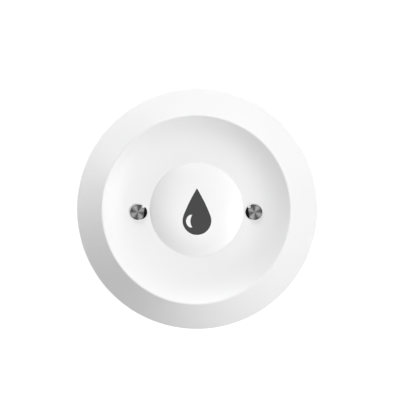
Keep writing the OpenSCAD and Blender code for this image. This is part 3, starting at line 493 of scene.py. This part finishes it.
# Button
# A white domed cap that slides in the recess of the dish, with a skirt of snap hooks and a stem that
# presses the switch through a silicone diaphragm. The drop sign is a dark grey inlay in its crown. The
# diaphragm is parted round the stem: its rim stays with the case, and its middle rides with the button.
cap_plastic = moulded("cap_plastic", (0.92, 0.92, 0.92), 4200.0, 0.01, 0.4)
CROWN_Z, BRIM_Z, HOOK_Z, STEM_Z = 26.05, 22.55, 20.85, 20.15
BRIM_R, BRIM_IN_R, SKIRT_R, SKIRT_IN_R, HOOK_R, STEM_R = 13.555, 11.675, 8.2, 7.2, 9.0, 2.5
DOME_STEPS, DOME_POWER = 40, 3.45
dome = [(BRIM_R * i / DOME_STEPS, CROWN_Z - (CROWN_Z - DISH_Z) * (i / DOME_STEPS) ** DOME_POWER)
        for i in range(DOME_STEPS + 1)]
cap = spun([
    *dome, (BRIM_R, BRIM_Z), (BRIM_IN_R, BRIM_Z), (BRIM_IN_R, 22.62), (SKIRT_R, 23.94), (SKIRT_R, HOOK_Z),
    (HOOK_R, HOOK_Z), (HOOK_R, STEM_Z), (SKIRT_IN_R, STEM_Z), (SKIRT_IN_R, 24.2), (STEM_R, 24.25),
    (STEM_R, STEM_Z), (0, STEM_Z)], 256)
crown = BVHTree.FromBMesh(cap)
piece("domed_cap", [cap], [cap_plastic], "button", "cap_plastic", "button_cap")

grey_inlay, shader, place = finish("grey_inlay", (0.042, 0.042, 0.042), Specular_IOR_Level=0.22)
grit = place.noise(5000.0, 3.0)
place.feed(shader.inputs["Base Color"], grit.blend((0.038,) * 3, (0.047,) * 3))
place.feed(shader.inputs["Roughness"], grit * 0.16 + 0.44)
place.feed(shader.inputs["Normal"], place.node(
    "ShaderNodeBump", {}, {"Strength": 0.3, "Distance": 0.01 * MM, "Height": grit}))

DROP_X, DROP_Y, DROP_R, APEX_Y, JOIN = 0.12, -3.13, 4.14, 6.15, 21.0
CRESCENT_X, CRESCENT_Y, CRESCENT_R, CRESCENT_HALF = -1.05, -3.28, 1.97, 1.83
HOLLOW_X, HOLLOW_R = 1.64, 3.4
MESH_STEP, MESH_LINES, MESH_SHIFT = 0.5, 14, 0.1


def arc(bm, x, y, radius, start, sweep, steps):
    """A chain of edges round a middle, and its two end points."""
    a = math.radians(start)
    first = bm.verts.new(((x + radius * math.cos(a)) * MM, (y + radius * math.sin(a)) * MM, 0))
    swept = bmesh.ops.spin(
        bm, geom=[first], cent=(x * MM, y * MM, 0), axis=(0, 0, 1), dvec=(0, 0, 0),
        angle=math.radians(sweep), steps=steps, use_merge=False)
    last = [e for e in swept["geom_last"] if isinstance(e, bmesh.types.BMVert)][0]
    return first, last


mark = bmesh.new()
arc(mark, DROP_X, DROP_Y, DROP_R, 180 - JOIN, 180 + 2 * JOIN, 64)
across = DROP_R * math.cos(math.radians(JOIN))
rise = APEX_Y - DROP_Y - DROP_R * math.sin(math.radians(JOIN))
bend = 2 * (math.degrees(math.atan2(across, rise)) - JOIN)
flank_r = math.hypot(across, rise) / 2 / math.sin(math.radians(bend / 2))
reach = (flank_r - DROP_R) * math.cos(math.radians(JOIN))
sink = (flank_r - DROP_R) * math.sin(math.radians(JOIN))
arc(mark, DROP_X - reach, DROP_Y - sink, flank_r, JOIN, bend, 16)
arc(mark, DROP_X + reach, DROP_Y - sink, flank_r, 180 - JOIN, -bend, 16)
outer = math.degrees(math.asin(CRESCENT_HALF / CRESCENT_R))
inner = math.degrees(math.asin(CRESCENT_HALF / HOLLOW_R))
outer_ends = arc(mark, CRESCENT_X, CRESCENT_Y, CRESCENT_R, 180 - outer, 2 * outer, 24)
inner_ends = arc(mark, HOLLOW_X, CRESCENT_Y, HOLLOW_R, 180 - inner, 2 * inner, 24)
for a, b in zip(outer_ends, inner_ends):
    mark.edges.new((a, b))
bmesh.ops.remove_doubles(mark, verts=mark.verts, dist=1e-7)
bmesh.ops.triangle_fill(mark, use_beauty=True, use_dissolve=False, edges=mark.edges[:], normal=(0, 0, 1))
for axis in ((1, 0, 0), (0, 1, 0)):
    for i in range(-MESH_LINES, MESH_LINES + 1):
        bmesh.ops.bisect_plane(
            mark, geom=mark.verts[:] + mark.edges[:] + mark.faces[:], dist=1e-7,
            plane_co=Vector(axis) * (i * MESH_STEP + MESH_SHIFT) * MM, plane_no=axis)
PROUD, SUNK = 0.02, 0.3
for v in mark.verts:
    v.co.z = crown.ray_cast(Vector((v.co.x, v.co.y, 30 * MM)), Vector((0, 0, -1)))[0].z + PROUD * MM
bmesh.ops.recalc_face_normals(mark, faces=mark.faces)
swept = bmesh.ops.extrude_face_region(mark, geom=mark.faces[:])["geom"]
low = [v for v in swept if isinstance(v, bmesh.types.BMVert)]
bmesh.ops.translate(mark, verts=low, vec=(0, 0, -SUNK * MM))
bmesh.ops.recalc_face_normals(mark, faces=mark.faces)
piece("drop_inlay", [mark], [grey_inlay], "button", "grey_inlay", "drop_mark")

silicone = speckled("silicone", (0.7, 0.7, 0.69), (0.8, 0.8, 0.79), 900.0, 0.6)
BOOT_R, BOOT_HOLE_R, BOOT_MIDDLE_R, BOOT_TOP, PAD_Z = 12.6, 9.5, 9.65, 20.03, 19.16
boot_rim = spun([
    (BOOT_HOLE_R, 20.05, 0.12), (10.2, 20.05), (10.2, 20.83), (BOOT_R, 20.83), (BOOT_R, 19.57),
    (BOOT_HOLE_R, 19.57, 0.12)], 96)
piece("silicone_boot", [boot_rim], [silicone], "case", "silicone", "button_boot")
boot_middle = spun([
    (0, BOOT_TOP), (6.2, BOOT_TOP, 0.3), (6.9, 19.85, 0.3), (9.2, 19.85, 0.3), (BOOT_MIDDLE_R, 20.0, 0.1),
    (BOOT_MIDDLE_R, 19.65, 0.1), (9.2, 19.55, 0.3), (2.9, 19.55, 0.2), (STEM_R, PAD_Z, 0.1), (0, PAD_Z)], 96)
piece("boot_middle", [boot_middle], [silicone], "button", "silicone")

# Drip probes
# A turned stainless disc on each side of the button, with a notch for the key of the shell. It clamps
# an oval black rubber seal, which shows as a dark crescent on the side of the button.
FACE_Z, HEAD_Z, SEAL_Z, SHANK_Z = 24.3, 23.75, 23.25, 15.55
HEAD_R, SHANK_R = 2.2, 1.0
NOTCH_R, SEAL_NOTCH_R, CUT_TOP = 0.55, 0.47, 25
FLAT, FLAT_TURN, FLAT_CUT = 1.74, 9.0, 1.0
SEAL_R, SEAL_REACH, SEAL_EDGE = 2.13, 0.56, 0.12


def key_room(radius, low):
    """A round cutter for the notch that takes the key."""
    return spun([(0, low), (radius, low), (radius, CUT_TOP), (0, CUT_TOP)], 48)


for side, word in ((-1, "left"), (1, "right")):
    probe = spun([
        (0, FACE_Z), *grooved(0.12, 2.1, FACE_Z, -0.006, 14), (HEAD_R, FACE_Z, 0.05),
        (HEAD_R, HEAD_Z, 0.05), (SHANK_R, HEAD_Z), (SHANK_R, SHANK_Z, 0.15), (0, SHANK_Z)], 128)
    flat = block(FLAT_CUT, 3.0, HEAD_Z - 0.02, CUT_TOP)
    flat = moved(flat, FLAT + FLAT_CUT, turn=90 + side * (90 + FLAT_TURN))
    notch = moved(key_room(NOTCH_R, 23.5), -side * KEY_X, KEY_Y)
    probe = moved(carved(probe, [notch, flat]), PROBE_X[side], PROBE_Y)
    piece(f"{word}_turned_probe", [probe], [turned(f"{word}_probe_steel", PROBE_X[side], PROBE_Y, side)],
          "case", "probe_steel", f"{word}_drip_probe")
    seal = bmesh.new()
    bmesh.ops.create_circle(seal, cap_ends=True, segments=96, radius=SEAL_R * MM)
    towards = [v for v in seal.verts if v.co.x * side < 1e-7]
    bmesh.ops.translate(seal, verts=towards, vec=(-side * SEAL_REACH * MM, 0, 0))
    swept = bmesh.ops.extrude_face_region(seal, geom=seal.faces[:])["geom"]
    top = [v for v in swept if isinstance(v, bmesh.types.BMVert)]
    bmesh.ops.translate(seal, verts=top, vec=(0, 0, (HEAD_Z - SEAL_Z) * MM))
    bmesh.ops.recalc_face_normals(seal, faces=seal.faces)
    brim = [e for e in seal.edges if min(v.co.z for v in e.verts) > 0.3 * MM]
    bmesh.ops.bevel(
        seal, geom=brim, offset=SEAL_EDGE * MM, offset_type="OFFSET", affect="EDGES", segments=4,
        profile=0.5, material=-1)
    bmesh.ops.translate(seal, verts=seal.verts, vec=(0, 0, SEAL_Z * MM))
    notch = moved(key_room(SEAL_NOTCH_R, 23), -side * KEY_X, KEY_Y)
    seal = moved(carved(seal, [notch]), PROBE_X[side], PROBE_Y)
    piece(f"{word}_oval_seal", [seal], [black_rubber], "case", "black_rubber", f"{word}_probe_seal")

# Battery door
# A flat white moulding that closes the bay from below. Two tongues hook under the base, and a finger
# scoop with grip ribs lifts the other edge. Its gasket is carried over as it is.
door_plastic = moulded("door_plastic", (0.84, 0.84, 0.84), 3200.0, 0.02, 0.5)
DOOR_X, DOOR_Y, DOOR_TOP, DOOR_CORNER, DOOR_EDGE = 26.35, 12.05, 2.8, 2.0, 0.25
SCOOP_Y, SCOOP_R, SCOOP_HALF, SCOOP_DEPTH = 8.55, 6.0, 8.0, 0.7
TONGUE_Y, RIB_PLACES = -11.9, (-1.4, -0.7, 0, 0.7, 1.4)
door = block(DOOR_X, DOOR_Y, UNDER_Z, DOOR_TOP, DOOR_CORNER)
lower_edges = [e for e in door.edges if max(v.co.z for v in e.verts) < (UNDER_Z + 0.01) * MM]
bmesh.ops.bevel(
    door, geom=lower_edges, offset=DOOR_EDGE * MM, offset_type="OFFSET", affect="EDGES", segments=3,
    profile=0.5, material=-1)
scoop = spun([
    (0, -SCOOP_HALF), (SCOOP_R, -SCOOP_HALF, 0.3), (SCOOP_R, SCOOP_HALF, 0.3), (0, SCOOP_HALF)], 192)
bmesh.ops.rotate(scoop, verts=scoop.verts, cent=(0, 0, 0), matrix=Matrix.Rotation(math.pi / 2, 3, "Y"))
moved(scoop, 0, SCOOP_Y, UNDER_Z + SCOOP_DEPTH - SCOOP_R)
tongues = [moved(block(4.0, 0.9, 1.8, 2.4), s * TONGUE_X, TONGUE_Y) for s in (-1, 1)]
ribs = [moved(block(6.6, 0.22, 1.45, 2.2), 0, SCOOP_Y + y) for y in RIB_PLACES]
door = carved(carved(door, [scoop]), [*tongues, *ribs], "UNION")
piece("closing_door", [door], [door_plastic], "door", "door_plastic", "battery_door", sharp=15)

# Feet and screws
# Four dark rubber discs are glued into pockets of the base, and the puck stands on them. Between them four
# zinc plated pan head screws with cross recesses sit deep in their counterbores.
foot_rubber = rubber("foot_rubber", (0.11, 0.11, 0.11), 3000.0, 0.8)
FOOT_R, FOOT_TOP, RING_DEPTH = 3.2, 1.7, 0.14
for word in ("left", "right", "front", "rear"):
    tread = spun([
        (0, RING_DEPTH), (1.5, RING_DEPTH, 0.08), (1.75, 0.0, 0.08), (2.8, 0.0, 0.12), (FOOT_R, 0.4, 0.15),
        (FOOT_R, FOOT_TOP), (0, FOOT_TOP)], 64)
    piece(f"{word}_tread", [moved(tread, FOOT_REACH, turn=FOOT_TURNS[word])], [foot_rubber],
          "case", "foot_rubber", f"{word}_foot")
PAN_R, SCREW_R, PAN_Z = 2.25, 1.25, 5.0


def pan_screw():
    """A screw that points up, with its cross recess below."""
    bm = spun([
        (0, 3.2), (1.3, 3.25, 0.5, 6), (PAN_R, 3.6, 0.4, 6), (PAN_R, PAN_Z, 0.1), (SCREW_R, PAN_Z),
        (SCREW_R, 15.6, 0.3), (0, 16.0)], 64)
    arms = [moved(block(1.35, 0.3, 2.5, 4.2), turn=t) for t in (0, 90)]
    return carved(bm, arms)


piece("pan_screws", [moved(pan_screw(), SCREW_REACH, turn=t) for t in SCREW_TURNS], [screw_steel],
      "case", "screw_steel", "case_screws")

# Camera
# It looks down through a long lens from 0.6 m, and stands a hair to the upper right of the middle. The puck
# sits a little low and left in the square picture.
EYE = Vector((0.0073, 0.0096, 0.6))
AIM = Vector((0.0009, 0.0027, 0.01715))
back = (EYE - AIM).normalized()
right = Vector((0, 1, 0)).cross(back).normalized()
lens = bpy.data.cameras.new("camera")
lens.lens, lens.sensor_width = 179.5, 36.0
lens.clip_start, lens.clip_end = 0.01, 20.0
camera = bpy.data.objects.new("camera", lens)
turned_to = Matrix((right, back.cross(right), back)).transposed().to_4x4()
camera.matrix_world = Matrix.Translation(EYE) @ turned_to
bpy.context.scene.collection.objects.link(camera)
bpy.context.scene.camera = camera

# Studio
# A white paper floor and a white surround. Soft boxes stand at the right, overhead and at the far side, two
# small ones lie low behind, and one below lights the underside, through the floor under the puck alone.
# The floor glows for the camera and for reflections, so that it reads as white, and keeps the shadow.
bpy.context.scene.view_settings.view_transform = "Standard"


def seen(tree):
    """One for rays of the camera, of reflections and of glass, else nothing."""
    rays = [Socket(tree).node("ShaderNodeLightPath", {}, {}, n)
            for n in ("Is Camera Ray", "Is Glossy Ray", "Is Transmission Ray")]
    return rays[0].math("MAXIMUM", rays[0].math("MAXIMUM", rays[0], rays[1]), rays[2])


AMBIENT = 0.05
world = bpy.data.worlds.new("surround")
bpy.context.scene.world = world
world.use_nodes = True
tree = world.node_tree
white = Socket(tree).node("ShaderNodeBackground", {}, {"Color": (1, 1, 1, 1), "Strength": 1.0})
dim = Socket(tree).node("ShaderNodeBackground", {}, {"Color": (1, 1, 1, 1), "Strength": AMBIENT})
chosen = white.node("ShaderNodeMixShader", {}, {0: seen(tree), 1: dim, 2: white})
chosen.feed(tree.nodes["World Output"].inputs["Surface"], chosen)

FLOOR_GLOW, FLOOR_HALF, FOOTPRINT = 0.6, 0.4, 0.0345
PAPER_GREY = 0.8
paper = bpy.data.materials.new("paper")
paper.use_nodes = True
tree = paper.node_tree
tree.nodes.remove(tree.nodes["Principled BSDF"])
plain = Socket(tree).node("ShaderNodeBsdfDiffuse", {}, {"Color": (*(PAPER_GREY,) * 3, 1)})
glow = Socket(tree).node("ShaderNodeEmission", {}, {"Color": (1, 1, 1, 1), "Strength": FLOOR_GLOW})
lit = glow.node("ShaderNodeAddShader", {}, {0: plain, 1: glow})
shown = lit.node("ShaderNodeMixShader", {}, {0: seen(tree), 1: plain, 2: lit})
clear = lit.node("ShaderNodeBsdfTransparent", {}, {})
where = lit.node("ShaderNodeTexCoord", {}, {}, "Object")
reach = lit.node("ShaderNodeVectorMath", {"operation": "LENGTH"}, {0: where}, "Value")
below = reach.math("LESS_THAN", reach, FOOTPRINT) * lit.node("ShaderNodeLightPath", {}, {}, "Is Shadow Ray")
under = lit.math("MAXIMUM", lit.node("ShaderNodeNewGeometry", {}, {}, "Backfacing"), below)
shown = lit.node("ShaderNodeMixShader", {}, {0: under, 1: shown, 2: clear})
shown.feed(tree.nodes["Material Output"].inputs["Surface"], shown)
sheet = bmesh.new()
bmesh.ops.create_grid(sheet, x_segments=1, y_segments=1, size=FLOOR_HALF)
floor = bpy.data.objects.new("floor", as_mesh("floor", sheet))
floor.data.materials.append(paper)
bpy.context.scene.collection.objects.link(floor)


def soft_box(name, azimuth, elevation, level, size=0.5, distance=0.9, bounces=1024):
    """A square soft lamp, by its direction from the puck. Level 1 lights a white face to full white."""
    a, e = math.radians(azimuth), math.radians(elevation)
    towards = Vector((math.cos(a) * math.cos(e), math.sin(a) * math.cos(e), math.sin(e)))
    data = bpy.data.lights.new(name, "AREA")
    data.size, data.energy = size, level * math.pi ** 2 * distance ** 2
    data.cycles.max_bounces = bounces
    lamp = bpy.data.objects.new(name, data)
    lamp.location = towards * distance
    lamp.rotation_mode = "QUATERNION"
    lamp.rotation_quaternion = towards.to_track_quat("Z", "Y")
    lamp.visible_camera = False
    bpy.context.scene.collection.objects.link(lamp)


soft_box("key", 345, 42, 0.617)
soft_box("overhead", 270, 75, 0.367)
soft_box("far", 105, 20, 0.516)
soft_box("low_left", 150, 4, 0.226, 0.1)
soft_box("low_right", 60, 4, 0.095, 0.1)
soft_box("under", 300, -75, 0.85, bounces=0)
